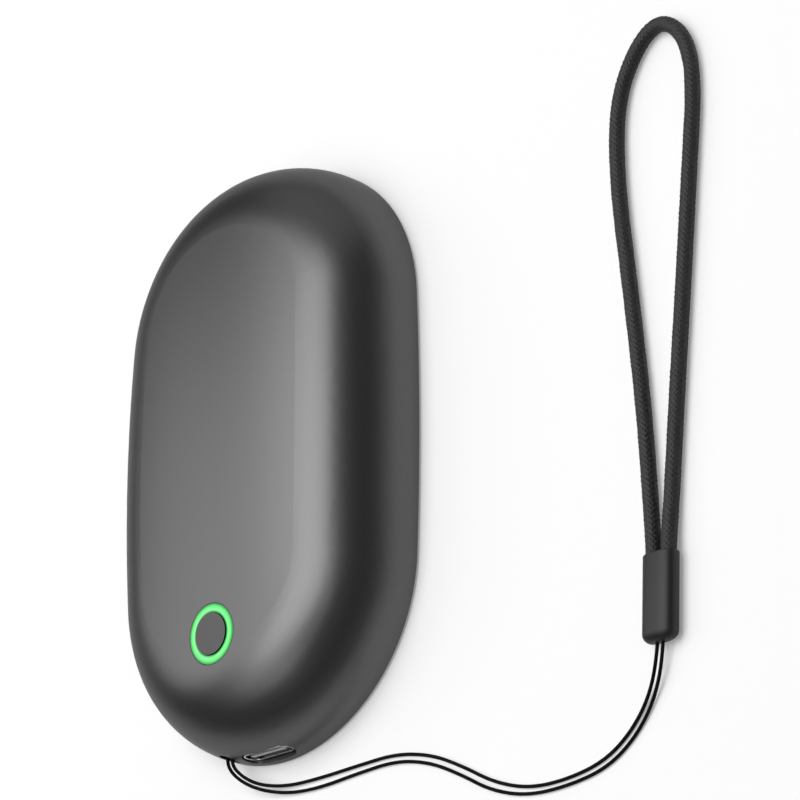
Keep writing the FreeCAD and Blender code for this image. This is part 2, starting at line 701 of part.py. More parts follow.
def make_hollow():
    """The space inside the shell, with its bosses left out and its holes added."""
    body = new_body("hollow")
    under = "rim_lift - wall"
    inside = new_sketch(body, "inside", offset=under)
    draw_oval(inside, "wall")
    pad(inside, "body_height - (%s)" % under)
    cut_crown(body, "wall")
    round_edges(body, "inner_roll", above("roll_base"))
    rabbet = new_sketch(body, "rabbet", offset=under)
    draw_oval(rabbet, "rim_lip")
    pad(rabbet, "rabbet_top - (%s)" % under)

    for name, base, diameter, places in (
        ("frame_bosses", "frame_top", "boss_dia", frame_boss_places()),
        ("board_bosses", "board_top", "board_boss_dia", board_boss_places()),
        ("collar", "collar_end", "collar_dia", [("0", "-button_y")]),
        ("pin_boss", "pin_boss_z", "pin_boss_dia", [("-hole_x", "-pin_y")]),
    ):
        columns = new_sketch(body, name, offset=base)
        for x, y in places:
            draw_circle(columns, x, y, diameter)
        pocket(columns, along_normal=True)

    for name, base, diameter, depth, places in (
        ("frame_pilots", "frame_top", "frame_screw_dia + 2 * screw_clearance",
         "frame_screw_length - (frame_top - counterbore_top) + pilot_spare", frame_boss_places()),
        ("board_pilots", "board_top", "board_screw_dia + 2 * screw_clearance",
         "board_screw_length - board_thick + pilot_spare", board_boss_places()),
        ("ring_hole", "collar_end", "ring_hole", "collar_depth + wall", [("0", "-button_y")]),
        ("pin_bore", "pin_boss_z", "pin_dia + 2 * screw_clearance", "pin_depth + fit_gap",
         [("-hole_x", "-pin_y")]),
    ):
        cores = new_sketch(body, name, offset="(%s) - wall / 2" % base)
        for x, y in places:
            draw_circle(cores, x, y, diameter)
        pad(cores, "(%s) + wall / 2" % depth)

    port = new_sketch(body, "port", "XZ_Plane", "socket_back")
    draw_slot(port, "0", "socket_z", "socket_width + 2 * port_gap", "socket_height + 2 * port_gap")
    pad(port, "half_length - socket_back + wall")
    strap_hole = new_sketch(body, "strap_hole", "XZ_Plane", "pin_y")
    draw_circle(strap_hole, "-hole_x", "hole_z", "hole_dia")
    pad(strap_hole, "half_length - pin_y + wall")
    return body


# The warming plate, the frame that carries it and the layers between


def make_back_plate():
    body = new_body("back_plate")
    outline = new_sketch(body, "outline")
    draw_oval(outline, "plate_inset")
    pad(outline, "plate_thick")
    round_edges(body, "plate_round", level("Z", "0"))
    return body


def make_mid_frame():
    body = new_body("mid_frame")
    flange = new_sketch(body, "flange", offset="rim_lift")
    draw_oval(flange, "bezel_outer")
    pad(flange, "rabbet_top - rim_lift")
    ledge = new_sketch(body, "ledge", offset="rabbet_top")
    draw_oval(ledge, "ledge_outer")
    pad(ledge, "frame_top - rabbet_top")

    recess = new_sketch(body, "recess", offset="recess_top")
    draw_oval(recess, "bezel_inner")
    pocket(recess)
    bevel_edges(body, "bezel_chamfer", level("Z", "rim_lift"))
    heater_space = new_sketch(body, "heater_space", offset="floor_bottom")
    draw_oval(heater_space, "ledge_inner")
    pocket(heater_space)
    window = new_sketch(body, "window", offset="frame_top")
    draw_board_window(window)
    pocket(window)

    ribs = new_sketch(body, "ribs", offset="frame_top")
    rib_in = "cell_half + fit_gap"
    rib_out = "cell_half + fit_gap + rib_thick"
    rib_low, rib_high = "rib_end_gap - cell_start", "cell_top_end - rib_end_gap"
    draw_rectangle(ribs, rib_in, rib_low, rib_out, rib_high)
    draw_rectangle(ribs, "-(%s)" % rib_out, rib_low, "-(%s)" % rib_in, rib_high)
    end_low, end_high = "cell_top_end + fit_gap", "cell_top_end + fit_gap + rib_thick"
    end_reach = "cell_half - cell_corner - rib_end_gap"
    draw_rectangle(ribs, "-(%s)" % end_reach, end_low, end_reach, end_high)
    pad(ribs, "rib_height")

    past_end = "-(half_length + wall)"
    socket_room = new_sketch(body, "socket_room", offset="socket_relief")
    draw_rectangle(
        socket_room, "-(socket_width / 2 + port_gap)", past_end,
        "socket_width / 2 + port_gap", "fit_gap - socket_back")
    pocket(socket_room, along_normal=True)
    pin_space = new_sketch(body, "pin_space", offset="hole_relief")
    draw_rectangle(pin_space, "-(hole_x + pin_room)", past_end, "-(hole_x - pin_room)", "pin_room - pin_y")
    pocket(pin_space, along_normal=True)

    screw_holes = new_sketch(body, "screw_holes", offset="frame_top")
    counterbores = new_sketch(body, "counterbores", offset="counterbore_top")
    for x, y in frame_boss_places():
        draw_circle(screw_holes, x, y, "frame_screw_dia + 2 * screw_clearance")
        draw_circle(counterbores, x, y, "frame_head_dia + 2 * screw_clearance")
    pocket(screw_holes)
    pocket(counterbores)
    return body


def draw_board_window(sketch):
    """The opening under the main board: round like the body's end, straight across at the floor's edge."""
    centre, edge = number("end_centre"), number("floor_edge")
    radius = number("window_radius")
    bow = sketch.addGeometry(Part.ArcOfCircle(
        Part.Circle(vector(0, -centre), vector(0, 0, 1), radius), math.pi, 2 * math.pi))
    right = sketch.addGeometry(Part.LineSegment(vector(radius, -centre), vector(radius, -edge)))
    top = sketch.addGeometry(Part.LineSegment(vector(radius, -edge), vector(-radius, -edge)))
    left = sketch.addGeometry(Part.LineSegment(vector(-radius, -edge), vector(-radius, -centre)))
    for constraint in (
        ("Tangent", bow, 2, right, 1),
        ("Coincident", right, 2, top, 1),
        ("Coincident", top, 2, left, 1),
        ("Tangent", left, 2, bow, 1),
        ("Vertical", right),
        ("Vertical", left),
        ("Horizontal", top),
        ("PointOnObject", bow, 3, -2),
    ):
        sketch.addConstraint(Sketcher.Constraint(*constraint))
    dimension(sketch, "DistanceY", (bow, 3), "-end_centre")
    dimension(sketch, "Radius", (bow,), "window_radius")
    dimension(sketch, "DistanceY", (top, 1), "-floor_edge")


def make_plate_gasket():
    body = new_body("plate_gasket")
    ring = new_sketch(body, "ring", offset="plate_thick")
    draw_oval(ring, "plate_inset + gasket_margin")
    draw_oval(ring, "plate_inset + gasket_margin + gasket_width")
    pad(ring, "gasket_thick")
    return body


def make_heater_film():
    body = new_body("heater_film")
    outline = new_sketch(body, "outline", offset="plate_thick")
    draw_oval(outline, "heater_inset")
    pad(outline, "heater_thick")
    return body


def make_insulation_pad():
    body = new_body("insulation_pad")
    outline = new_sketch(body, "outline", offset="heater_top")
    draw_oval(outline, "heater_inset")
    pad(outline, "floor_bottom - heater_top")
    window = new_sketch(body, "window", offset="floor_bottom")
    half, reach = "lead_window_width / 2", "lead_window_length / 2"
    draw_rectangle(window, "-" + half, "-lead_y - " + reach, half, reach + " - lead_y")
    pocket(window)
    return body


# The cell


def make_battery_cell():
    body = new_body("battery_cell")
    outline = new_sketch(body, "outline", offset="cell_bottom")
    draw_rectangle(outline, "-cell_half", "-cell_start", "cell_half", "cell_top_end")
    pad(outline, "cell_top - cell_bottom")

    def upright(edge):
        return edge.BoundBox.ZLength > same_place
    round_edges(body, "cell_corner", upright)
    low, high = level("Z", "cell_bottom"), level("Z", "cell_top")
    round_edges(body, "cell_edge", lambda edge: low(edge) or high(edge))
    flap = new_sketch(body, "flap", offset="cell_seal_z")
    reach = "cell_half - cell_seal_step"
    draw_rectangle(flap, "-(%s)" % reach, "-(cell_start + cell_seal_length)", reach, "cell_edge - cell_start")
    pad(flap, "cell_seal_thick")
    return body


def make_cell_layers(hollow):
    """Tape under the cell, foam that fills the space over it up to the shell, and the protection board."""
    length = "cell_top_end + cell_start"
    middle_y = "(cell_top_end - cell_start) / 2"
    tape = middle_box(
        "battery_tape", "0", middle_y, "frame_top",
        "2 * (cell_half - tape_margin)", "(%s) - 2 * tape_margin" % length, "tape_thick")
    block = middle_box(
        "foam_block", "0", middle_y, "cell_top",
        "2 * (cell_half - foam_margin)", "(%s) - 2 * foam_margin" % length, "foam_thick")
    foam = join("foam_pad", "Common", block, shifted("foam_limit", hollow, "-fit_gap"))
    guard = new_box(
        "protection_board", "-guard_length / 2", "-(cell_start + guard_width + fit_gap)", "cell_seal_top",
        "guard_length", "guard_width", "guard_thick")
    return [tape, foam, guard]


# The main board, the charging socket and the small pieces


def make_main_board():
    body = new_body("main_board")
    outline = new_sketch(body, "outline", offset="board_bottom")
    half, tab = "board_half", "board_tab_width / 2"
    draw_outline(outline, [
        ("-" + half, "-board_start"),
        ("-" + half, "-board_low"),
        ("-" + tab, "-board_low"),
        ("-" + tab, "-board_tab_low"),
        (tab, "-board_tab_low"),
        (tab, "-board_low"),
        (half, "-board_low"),
        (half, "-board_start"),
    ])
    pad(outline, "board_thick")
    holes = new_sketch(body, "holes", offset="board_top")
    for x, y in board_boss_places():
        draw_circle(holes, x, y, "board_screw_dia + 2 * screw_clearance")
    pocket(holes)
    return body


def make_usb_shell():
    body = new_body("usb_shell")
    outside = new_sketch(body, "outside", "XZ_Plane", "socket_back")
    draw_slot(outside, "0", "socket_z", "socket_width", "socket_height")
    pad(outside, "socket_length")
    inside = new_sketch(body, "inside", "XZ_Plane", "socket_mouth")
    draw_slot(inside, "0", "socket_z", "socket_width - 2 * socket_wall", "socket_height - 2 * socket_wall")
    pocket(inside, "socket_length - socket_wall")
    round_edges(body, "socket_lip", level("Y", "-socket_mouth"))
    return body


def make_usb_tongue():
    body = new_body("usb_tongue")
    block = new_sketch(body, "block", "XZ_Plane", "socket_back + socket_wall")
    shrink = "2 * (socket_wall + fit_gap)"
    draw_slot(block, "0", "socket_z", "socket_width - %s" % shrink, "socket_height - %s" % shrink)
    pad(block, "tongue_base")
    blade = new_sketch(body, "blade", "XZ_Plane", "socket_back + socket_wall")
    half, thick = "tongue_width / 2", "tongue_thick / 2"
    draw_rectangle(blade, "-" + half, "socket_z - " + thick, half, "socket_z + " + thick)
    pad(blade, "tongue_base + tongue_length")
    return body


def make_usb_contacts():
    strips = []
    front = "-(socket_back + socket_wall + tongue_base + contact_length)"
    for step in (-5, -3, -1, 1, 3, 5):
        x = "%d * contact_spacing / 2 - contact_width / 2" % step
        for z in ("socket_z + tongue_thick / 2", "socket_z - tongue_thick / 2 - contact_thick"):
            strips.append(new_box(
                "contact_%d" % len(strips), x, front, z, "contact_width", "contact_length", "contact_thick"))
    return group("usb_contacts", strips)


def make_switch():
    body = new_body("switch_body")
    outline = new_sketch(body, "outline", offset="board_top")
    half = "switch_side / 2"
    draw_rectangle(outline, "-" + half, "-button_y - " + half, half, half + " - button_y")
    pad(outline, "switch_height")
    well = new_sketch(body, "well", offset="board_top + switch_height")
    draw_circle(well, "0", "-button_y", "plunger_dia + 2 * plunger_play")
    pocket(well, "plunger_depth")
    bottom = "board_top + switch_height - plunger_depth + press_travel + plunger_play"
    plunger = new_cylinder(
        "switch_plunger", "0", "-button_y", bottom, "plunger_dia", "plunger_top - (%s)" % bottom)
    return [body, plunger]


def make_power_button(dome):
    """Cap, flange and stem in one turned profile, its top cut to the dome's curve, a little above it."""
    body = new_body("button_blank")
    profile = new_sketch(body, "profile", "XZ_Plane", "button_y")
    draw_outline(profile, [
        ("0", "plunger_top"),
        ("button_stem_dia / 2", "plunger_top"),
        ("button_stem_dia / 2", "button_flange_bottom"),
        ("button_flange_dia / 2", "button_flange_bottom"),
        ("button_flange_dia / 2", "button_flange_top"),
        ("button_dia / 2", "button_flange_top"),
        ("button_dia / 2", "body_height"),
        ("0", "body_height"),
    ])
    revolve(profile)
    return join("power_button", "Common", body, shifted("button_limit", dome, "button_rise"))


def make_light_ring(dome):
    """A light guide: narrow tube to the surface, flange under the shell's collar, skirt over the lamps."""
    body = new_body("ring_blank")
    profile = new_sketch(body, "profile", "XZ_Plane", "button_y")
    draw_outline(profile, [
        ("ring_skirt_bore / 2", "skirt_bottom"),
        ("ring_skirt_dia / 2", "skirt_bottom"),
        ("ring_skirt_dia / 2", "ring_flange_bottom"),
        ("ring_flange_dia / 2", "ring_flange_bottom"),
        ("ring_flange_dia / 2", "collar_end"),
        ("ring_dia / 2", "collar_end"),
        ("ring_dia / 2", "body_height"),
        ("ring_bore / 2", "body_height"),
        ("ring_bore / 2", "ring_flange_bottom"),
        ("ring_skirt_bore / 2", "ring_flange_bottom"),
    ])
    revolve(profile)
    return join("light_ring", "Common", body, dome)


def make_light_shade():
    body = new_body("light_shade")
    tube = new_sketch(body, "tube", offset="board_top")
    bore = "ring_skirt_dia + 2 * fit_gap"
    draw_circle(tube, "0", "-button_y", bore)
    draw_circle(tube, "0", "-button_y", bore + " + 2 * shade_wall")
    pad(tube, "ring_flange_bottom - board_top")
    return body


def make_status_leds():
    lamps = [
        middle_box("lamp_%d" % i, x, "(%s) - button_y" % y, "board_top", length, width, "lamp_height")
        for i, (x, y, length, width) in enumerate([
            ("lamp_radius", "0", "lamp_width", "lamp_length"),
            ("-lamp_radius", "0", "lamp_width", "lamp_length"),
            ("0", "lamp_radius", "lamp_length", "lamp_width"),
            ("0", "-lamp_radius", "lamp_length", "lamp_width"),
        ])
    ]
    return group("status_leds", lamps)


def make_board_pieces():
    """Chips and capacitors under the board, the tall inductor on top of it."""
    control = middle_box(
        "control_chip", "chip_x", "-button_y", "board_bottom - chip_height",
        "control_chip_side", "control_chip_side", "chip_height")
    charge = middle_box(
        "charge_chip", "-chip_x", "-button_y", "board_bottom - chip_height",
        "charge_chip_side", "charge_chip_side", "chip_height")
    coil = middle_box(
        "power_inductor", "0", "-(board_start + coil_margin + coil_side / 2)", "board_top",
        "coil_side", "coil_side", "coil_height")
    first_row = "control_chip_side / 2 - capacitor_width - button_y"
    capacitors = [
        middle_box(
            "capacitor_%d" % i, side + "chip_x", "%s + %d * capacitor_spacing" % (first_row, step),
            "board_bottom - capacitor_width", "capacitor_length", "capacitor_width", "capacitor_width")
        for i, (side, step) in enumerate([(side, step) for side in ("", "-") for step in (1, 2, 3)])
    ]
    return [control, charge, coil, group("chip_capacitors", capacitors)]


def make_screws(name, places, head_bottom, head_dia, head_thick, shank_dia, shank_length):
    screws = []
    for x, y in places:
        label = "%s_%d" % (name, len(screws))
        head = new_cylinder(label + "_head", x, y, head_bottom, head_dia, head_thick)
        shank = new_cylinder(
            label + "_shank", x, y, head_bottom, shank_dia, "(%s) + (%s)" % (head_thick, shank_length))
        screws.append(join(label, "Fuse", head, shank))
    return group(name, screws)


def make_strap_pin():
    return new_cylinder(
        "lanyard_pin", "-hole_x", "-pin_y", "hole_relief", "pin_dia", "pin_boss_z + pin_depth - hole_relief")


# Leads inside the body


def make_leads():
    """Two leads bow from the cell's protection board to the main board, two rise from the heater."""
    guard_y, land_y = number("cell_start + guard_width / 2"), number("board_start + cell_lead_land")
    guard_top, landing = number("cell_seal_top + guard_thick"), number("board_top")
    crown = guard_top + number("cell_lead_bow")
    leads = []
    for name, side in (("battery_lead_red", -1), ("battery_lead_black", 1)):
        x = side * number("cell_lead_x")
        leads.append(solid_tube(name, [
            (x, -guard_y, guard_top),
            (x, -guard_y, crown),
            (x, -land_y, crown),
            (x, -land_y, landing),
        ], number("lead_dia")))
    risers = [
        new_cylinder(name, x, "-lead_y", "heater_top", "lead_dia", "board_bottom - heater_top")
        for name, x in (("heater_lead_a", "-lead_spacing / 2"), ("heater_lead_b", "lead_spacing / 2"))
    ]
    return leads + [group("heater_leads", risers)]


def make_thermistor():
    bead = middle_box(
        "thermistor_bead", "bead_x", "-lead_y", "heater_top", "bead_length", "bead_width", "bead_height")
    first, second = [
        new_cylinder(
            name, "bead_x %s bead_lead_spacing / 2" % sign, "-lead_y", "heater_top + bead_height / 2",
            "bead_lead_dia", "board_bottom - heater_top - bead_height / 2")
        for name, sign in (("thermistor_lead_a", "-"), ("thermistor_lead_b", "+"))
    ]
    half = join("thermistor_half", "Fuse", bead, first)
    return join("thermistor", "Fuse", half, second)


# The strap


def make_strap_sleeve():
    body = new_body("strap_sleeve")
    section = new_sketch(body, "section", "XZ_Plane", "-sleeve_top")
    draw_slot(section, "sleeve_x", "sleeve_z", "sleeve_width", "sleeve_thick")
    pad(section, "sleeve_length")
    round_edges(body, "sleeve_round", level("Y", "-sleeve_y"))
    round_edges(body, "sleeve_mouth_round", level("Y", "sleeve_top"))
    mouth = new_sketch(body, "mouth", "XZ_Plane", "-sleeve_top")
    bore = "rope_dia + 2 * strap_gap"
    draw_slot(mouth, "sleeve_x", "sleeve_z", "rope_spacing + " + bore, bore)
    pocket(mouth, "rope_depth", along_normal=True)
    exits = new_sketch(body, "exits", "XZ_Plane", "sleeve_y")
    for sign in ("-", "+"):
        draw_circle(exits, "sleeve_x %s cord_spacing / 2" % sign, "sleeve_z", "cord_dia + 2 * strap_gap")
    pocket(exits, "cord_depth")
    return body


def make_strap_cord():
    near, far, end = number("-hole_x"), number("sleeve_x"), number("half_length")

    def on_table(run):
        return [(near + share * (far - near), -(end + past), height) for share, past, height in run]

    def in_hole(run):
        return [(near + across, -(end + past), number("hole_z") + up) for across, past, up in run]

    def in_sleeve(side):
        x, z = far + side * number("cord_spacing / 2"), number("sleeve_z")
        return [(x, number("cord_depth - sleeve_y"), z), (x, number("-(sleeve_y + cord_straight)"), z)]

    turn, pin = number("pin_turn"), -number("pin_y")
    round_pin = [
        (near + across * turn, pin + along * turn, number("hole_z"))
        for across, along in ((-1, -1), (-1, 1), (1, 1), (1, -1))
    ]
    points = in_sleeve(1) + on_table(cord_out) + in_hole(hole_in) + round_pin
    points += in_hole(hole_out) + on_table(cord_back) + in_sleeve(-1)[::-1]
    return solid_tube("strap_cord", points, number("cord_dia"))


def make_strap_loop():
    middle, mouth, rest = number("sleeve_x"), number("sleeve_top"), number("rope_dia / 2")

    def in_sleeve(side):
        x, z = middle + side * number("rope_spacing / 2"), number("sleeve_z")
        return [(x, mouth - number("rope_depth"), z), (x, mouth + number("rope_straight"), z)]

    on_table = [(middle + across, mouth + along, rest) for across, along in loop_run]
    points = in_sleeve(-1) + on_table + in_sleeve(1)[::-1]
    return solid_tube("strap_loop", points, number("rope_dia"))


dome = make_dome_blank()
hollow = make_hollow()
front_shell = join("front_shell", "Cut", dome, hollow)
nodes = [
    front_shell,
    make_back_plate(),
    make_mid_frame(),
    make_plate_gasket(),
    make_heater_film(),
    make_insulation_pad(),
    make_battery_cell(),
    *make_cell_layers(hollow),
    make_main_board(),
    make_usb_shell(),
    make_usb_tongue(),
    make_usb_contacts(),
    *make_switch(),
    make_power_button(dome),
    make_light_ring(dome),
    make_light_shade(),
    make_status_leds(),
    *make_board_pieces(),
    make_screws(
        "frame_screws", frame_boss_places(), "recess_top + fit_gap", "frame_head_dia", "frame_head_thick",
        "frame_screw_dia", "frame_screw_length"),
    make_screws(
        "board_screws", board_boss_places(), "board_bottom - board_head_thick", "board_head_dia",
        "board_head_thick", "board_screw_dia", "board_screw_length"),
    make_strap_pin(),
    *make_leads(),
    make_thermistor(),
    make_strap_sleeve(),
    make_strap_cord(),
    make_strap_loop(),
]
doc.recompute()

for thing in doc.Objects:
    if "Invalid" in thing.State or "Error" in thing.State:
        raise RuntimeError("%s failed: %s" % (thing.Label, thing.State))
for node in nodes:
    if node.Shape.isNull() or not node.Shape.isValid() or not node.Shape.Solids:
        raise RuntimeError(node.Label + " has no valid solid")

os.makedirs("parts", exist_ok=True)
for node in nodes:
    node.Shape.exportStep("parts/%s.step" % node.Label)
print("%d pieces written" % len(nodes))
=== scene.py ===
import math
import bpy
import bmesh
from mathutils import Matrix, Vector


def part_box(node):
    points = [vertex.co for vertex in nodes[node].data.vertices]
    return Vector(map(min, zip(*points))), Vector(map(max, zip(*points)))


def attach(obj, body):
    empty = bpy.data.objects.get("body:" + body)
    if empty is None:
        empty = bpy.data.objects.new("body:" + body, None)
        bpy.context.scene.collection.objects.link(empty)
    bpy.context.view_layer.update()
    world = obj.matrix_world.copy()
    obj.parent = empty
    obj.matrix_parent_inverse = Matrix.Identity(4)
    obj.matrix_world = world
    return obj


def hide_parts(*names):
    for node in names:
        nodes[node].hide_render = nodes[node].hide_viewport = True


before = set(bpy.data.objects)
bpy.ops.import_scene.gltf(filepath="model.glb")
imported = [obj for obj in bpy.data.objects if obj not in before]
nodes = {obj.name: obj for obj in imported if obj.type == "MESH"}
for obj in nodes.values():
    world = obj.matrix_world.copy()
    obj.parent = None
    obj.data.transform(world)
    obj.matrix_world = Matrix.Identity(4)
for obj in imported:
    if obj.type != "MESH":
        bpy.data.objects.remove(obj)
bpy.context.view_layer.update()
collection = bpy.context.scene.collection
mm = 0.001
print("frame:", len(nodes), "CAD nodes")


# Camera: the photograph's view of the front, from the right and above
photoCamera = {
    "place": (389.891, -203.471, 380.259),  # mm
    "right": (0.71884, -0.00111, -0.69518),
    "up": (0.25469, 0.93089, 0.26187),
    "lens": 179.634,  # mm
    "sensor": 36.0,  # mm
}


def makeCamera(setup):
    data = bpy.data.cameras.new("photoCamera")
    data.lens = setup["lens"]
    data.sensor_width = setup["sensor"]
    camera = bpy.data.objects.new("photoCamera", data)
    collection.objects.link(camera)
    right, up = Vector(setup["right"]), Vector(setup["up"])
    turn = Matrix((right, up, right.cross(up))).transposed()
    camera.matrix_world = Matrix.Translation(Vector(setup["place"]) * mm) @ turn.to_4x4()
    bpy.context.scene.camera = camera


makeCamera(photoCamera)
print("camera: lens", photoCamera["lens"], "mm")


# Small helpers: sRGB hex to linear colour, a node with its settings and links, a material, a piece
def linear(hexColour):
    channels = [int(hexColour[i:i + 2], 16) / 255 for i in (1, 3, 5)]
    return [c / 12.92 if c <= 0.04045 else ((c + 0.055) / 1.055) ** 2.4 for c in channels] + [1.0]


def addNode(tree, kind, settings=None, links=None):
    node = tree.nodes.new(kind)
    for name, value in (settings or {}).items():
        if isinstance(name, str) and hasattr(node, name):
            setattr(node, name, value)
        else:
            node.inputs[name].default_value = value
    for name, source in (links or {}).items():
        tree.links.new(source, node.inputs[name])
    return node


def newMaterial(name):
    material = bpy.data.materials.new(name)
    material.use_nodes = True
    return material, material.node_tree, material.node_tree.nodes["Principled BSDF"]


def addPiece(name, mesh, material=None):
    piece = bpy.data.objects.new(name, mesh)
    collection.objects.link(piece)
    if material:
        mesh.materials.append(material)
    return piece


# A grained finish: two tones, a roughness range and a bump, all from one noise of a real grain size
grainNoise = {"detail": 3.0, "roughness": 0.6, "relief": 0.25}  # relief as a share of the grain


def grainedMaterial(name, look):
    material, tree, surface = newMaterial(name)
    place = addNode(tree, "ShaderNodeTexCoord")
    size = look["grain"] * mm
    grain = addNode(
        tree, "ShaderNodeTexNoise",
        {"Scale": 1 / size, "Detail": grainNoise["detail"], "Roughness": grainNoise["roughness"]},
        {"Vector": place.outputs["Object"]})
    tint = addNode(
        tree, "ShaderNodeMix", {"data_type": "RGBA", 6: linear(look["dark"]), 7: linear(look["light"])},
        {0: grain.outputs["Fac"]})
    rough = addNode(
        tree, "ShaderNodeMapRange", {"To Min": look["rough"][0], "To Max": look["rough"][1]},
        {"Value": grain.outputs["Fac"]})
    bump = addNode(
        tree, "ShaderNodeBump", {"Strength": look["bump"], "Distance": size * grainNoise["relief"]},
        {"Height": grain.outputs["Fac"]})
    tree.links.new(tint.outputs[2], surface.inputs["Base Color"])
    tree.links.new(rough.outputs["Result"], surface.inputs["Roughness"])
    tree.links.new(bump.outputs["Normal"], surface.inputs["Normal"])
    surface.inputs["Metallic"].default_value = look.get("metallic", 0.0)
    if "ior" in look:
        surface.inputs["IOR"].default_value = look["ior"]
    if "edge" in look:
        surface.inputs["Specular Tint"].default_value = linear(look["edge"])
    return material


# Finishes that show from outside, with grains in mm. Those finer than a pixel are a little coarser than
# real ones, so that they show.
satinShell = grainedMaterial("Anodised aluminium, bead blasted gunmetal", {
    # a broad soft sheen with a faint sandy grain, dark where it mirrors the dark side of the room
    # and duller than bare metal where it turns away
    "dark": "#5a5a5a", "light": "#626262", "edge": "#cbcbcb", "metallic": 1.0,
    "rough": (0.34, 0.42), "grain": 0.18, "bump": 0.06})
satinButton = grainedMaterial("Anodised aluminium, bead blasted button", {
    # as the shell, a shade darker, so that it sits back inside the lit ring
    "dark": "#4a4a4a", "light": "#525252", "edge": "#cbcbcb", "metallic": 1.0,
    "rough": (0.36, 0.44), "grain": 0.18, "bump": 0.05})
satinPlate = grainedMaterial("Anodised aluminium, fine satin cool grey", {
    # even and cool, smoother than the shell so that its edge catches a line of light
    "dark": "#83868b", "light": "#8b8e93", "metallic": 1.0,
    "rough": (0.30, 0.36), "grain": 0.15, "bump": 0.03})
frameAbs = grainedMaterial("ABS, spark-eroded mould, charcoal", {
    # dull dark ring round the plate
    "dark": "#2c2c2e", "light": "#36363a", "ior": 1.54,
    "rough": (0.42, 0.55), "grain": 0.2, "bump": 0.15})
nickelSteel = grainedMaterial("Stainless steel, nickel plated and drawn", {
    # bright mouth of the socket, with faint drawing marks
    "dark": "#aeaeae", "light": "#c2c2c2", "metallic": 1.0,
    "rough": (0.12, 0.2), "grain": 0.3, "bump": 0.05})
tonguePolymer = grainedMaterial("Glass-filled nylon, moulded", {
    # pale grey tongue inside the dark mouth
    "dark": "#b4b4b4", "light": "#c2c2c2", "ior": 1.53,
    "rough": (0.4, 0.5), "grain": 0.15, "bump": 0.1})
contactGold = grainedMaterial("Copper alloy, gold plated", {
    # thin pale strips
    "dark": "#b8a680", "light": "#ccba94", "metallic": 1.0,
    "rough": (0.2, 0.3), "grain": 0.2, "bump": 0.05})
sleeveRubber = grainedMaterial("Silicone rubber, matt moulded", {
    # soft dark grey without a mirror image
    "dark": "#121212", "light": "#1a1a1a", "ior": 1.41,
    "rough": (0.43, 0.53), "grain": 0.12, "bump": 0.12})
print("outer finishes made")


# Finishes of what is inside
innerLooks = {
    "Pressure-sensitive acrylic foam": (["plate_gasket", "battery_tape"], {
        "dark": "#161617", "light": "#222223", "ior": 1.47,
        "rough": (0.7, 0.85), "grain": 0.3, "bump": 0.3}),
    "Polyethylene foam, closed cell": (["insulation_pad", "foam_pad"], {
        "dark": "#2c2c2d", "light": "#434345", "ior": 1.5,
        "rough": (0.75, 0.9), "grain": 0.7, "bump": 0.6}),
    "Aluminium laminate foil, pouch": (["battery_cell"], {
        "dark": "#b4b6b9", "light": "#cacccf", "metallic": 1.0,
        "rough": (0.25, 0.4), "grain": 2.5, "bump": 0.15}),
    "Solder resist over glass cloth": (["main_board", "protection_board"], {
        "dark": "#0c3a22", "light": "#12492c", "ior": 1.55,
        "rough": (0.25, 0.35), "grain": 0.6, "bump": 0.1}),
    "Epoxy moulding compound": (["control_chip", "charge_chip", "switch_body"], {
        "dark": "#161617", "light": "#1f1f20", "ior": 1.57,
        "rough": (0.5, 0.62), "grain": 0.12, "bump": 0.15}),
    "Acetal, moulded pale": (["switch_plunger"], {
        "dark": "#b8b3a4", "light": "#c6c1b2", "ior": 1.48,
        "rough": (0.35, 0.45), "grain": 0.2, "bump": 0.05}),
    "Polycarbonate, white filled": (["light_shade"], {
        "dark": "#dcdcd8", "light": "#e8e8e4", "ior": 1.58,
        "rough": (0.4, 0.5), "grain": 0.2, "bump": 0.05}),
    "Epoxy, cast clear over phosphor": (["status_leds", "thermistor"], {
        "dark": "#cfc690", "light": "#e0d8a8", "ior": 1.54,
        "rough": (0.15, 0.25), "grain": 0.3, "bump": 0.03}),
    "Ferrite, pressed and fired": (["power_inductor"], {
        "dark": "#353537", "light": "#464648", "ior": 1.6,
        "rough": (0.6, 0.75), "grain": 0.15, "bump": 0.25}),
    "Barium titanate ceramic": (["chip_capacitors"], {
        "dark": "#8b6a48", "light": "#a07d58", "ior": 2.0,
        "rough": (0.4, 0.5), "grain": 0.1, "bump": 0.1}),
    "Carbon steel, zinc plated": (["board_screws", "frame_screws", "lanyard_pin"], {
        "dark": "#a5a7aa", "light": "#bcbec1", "metallic": 1.0,
        "rough": (0.25, 0.38), "grain": 0.25, "bump": 0.06}),
    "Silicone insulation, red": (["battery_lead_red"], {
        "dark": "#8e1712", "light": "#a51e18", "ior": 1.41,
        "rough": (0.45, 0.55), "grain": 0.2, "bump": 0.05}),
    "Silicone insulation, black": (["battery_lead_black"], {
        "dark": "#151516", "light": "#1f1f20", "ior": 1.41,
        "rough": (0.45, 0.55), "grain": 0.2, "bump": 0.05}),
    "Silicone insulation, white": (["heater_leads"], {
        "dark": "#cfcfca", "light": "#dededa", "ior": 1.41,
        "rough": (0.45, 0.55), "grain": 0.2, "bump": 0.05}),
}
for finishName, (nodeNames, look) in innerLooks.items():
    innerFinish = grainedMaterial(finishName, look)
    for nodeName in nodeNames:
        nodes[nodeName].material_slots[0].material = innerFinish

outerFinishes = {
    "front_shell": satinShell, "back_plate": satinPlate, "mid_frame": frameAbs,
    "power_button": satinButton, "usb_shell": nickelSteel, "usb_tongue": tonguePolymer,
    "usb_contacts": contactGold,
}
for nodeName, outerFinish in outerFinishes.items():
    nodes[nodeName].material_slots[0].material = outerFinish


